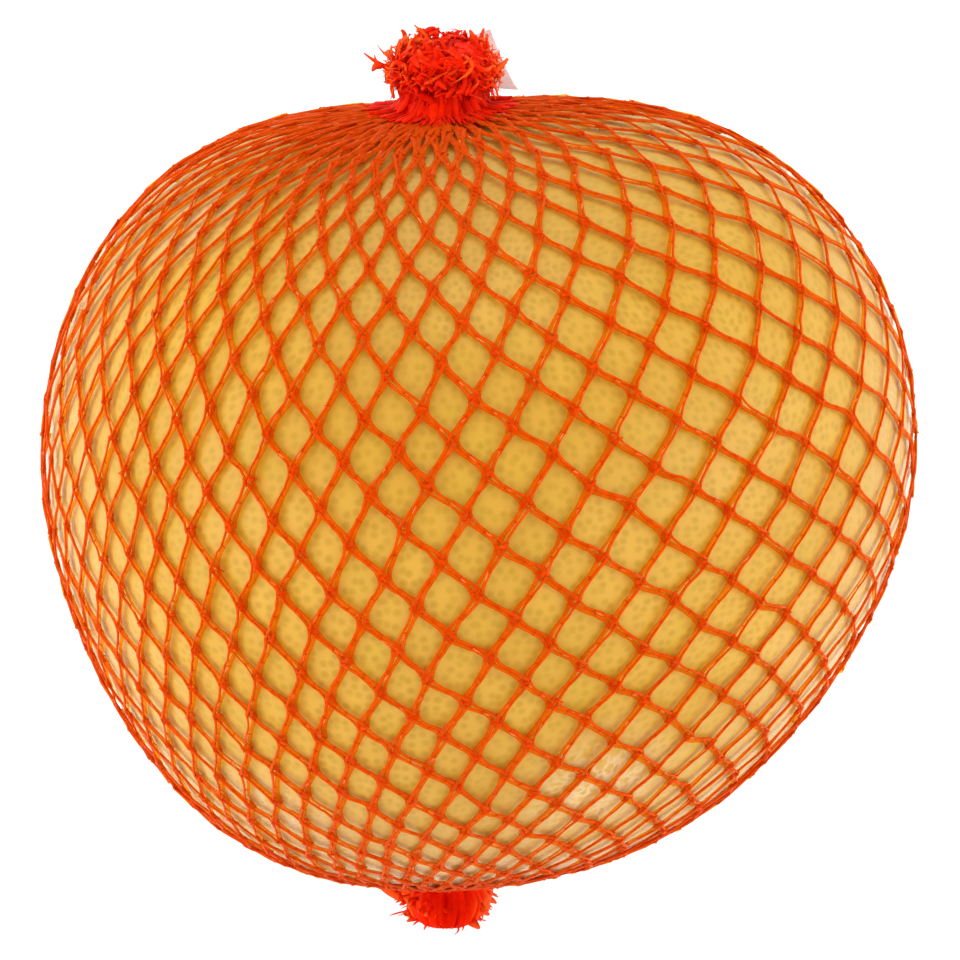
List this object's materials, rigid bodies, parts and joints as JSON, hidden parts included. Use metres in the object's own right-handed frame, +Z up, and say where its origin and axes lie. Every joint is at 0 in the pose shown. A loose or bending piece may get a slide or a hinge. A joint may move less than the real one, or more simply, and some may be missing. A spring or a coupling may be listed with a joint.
{
  "type": "red pomelo",
  "caption": "Whole pomelo in clear film and a knitted net sleeve, gathered in a tuft at each end, standing upright on the flat lower tuft.",
  "frame": {"origin": "middle of the lower tuft's flat underside, where the pomelo stands", "axes": "+Z up along the sleeve from the lower tuft to the upper tuft, +X towards the fruit's fuller shoulder, -Y towards the viewer"},
  "size_m": [0.1526, 0.151, 0.1614],
  "materials": {
    "rind": "waxy citrus peel with darker oil glands, satin",
    "film": "clear shrink film, glossy, finely wrinkled",
    "net_cord": "orange-red knitted polyethylene ribbon, slightly translucent",
    "tuft_fibre": "deep red crumpled ribbon ends, lighter at the tips",
    "tie_band": "wound red ribbon, satin",
    "strip": "blank milky film strip"
  },
  "bodies": {
    "root": {"pomelo_fruit": "rind", "film_wrap": "film", "net_sleeve": "net_cord", "bottom_tuft": "tuft_fibre", "bottom_tie": "tie_band", "top_tuft": "tuft_fibre", "top_tie": "tie_band", "film_strip": "strip"}
  },
  "joints": []
}
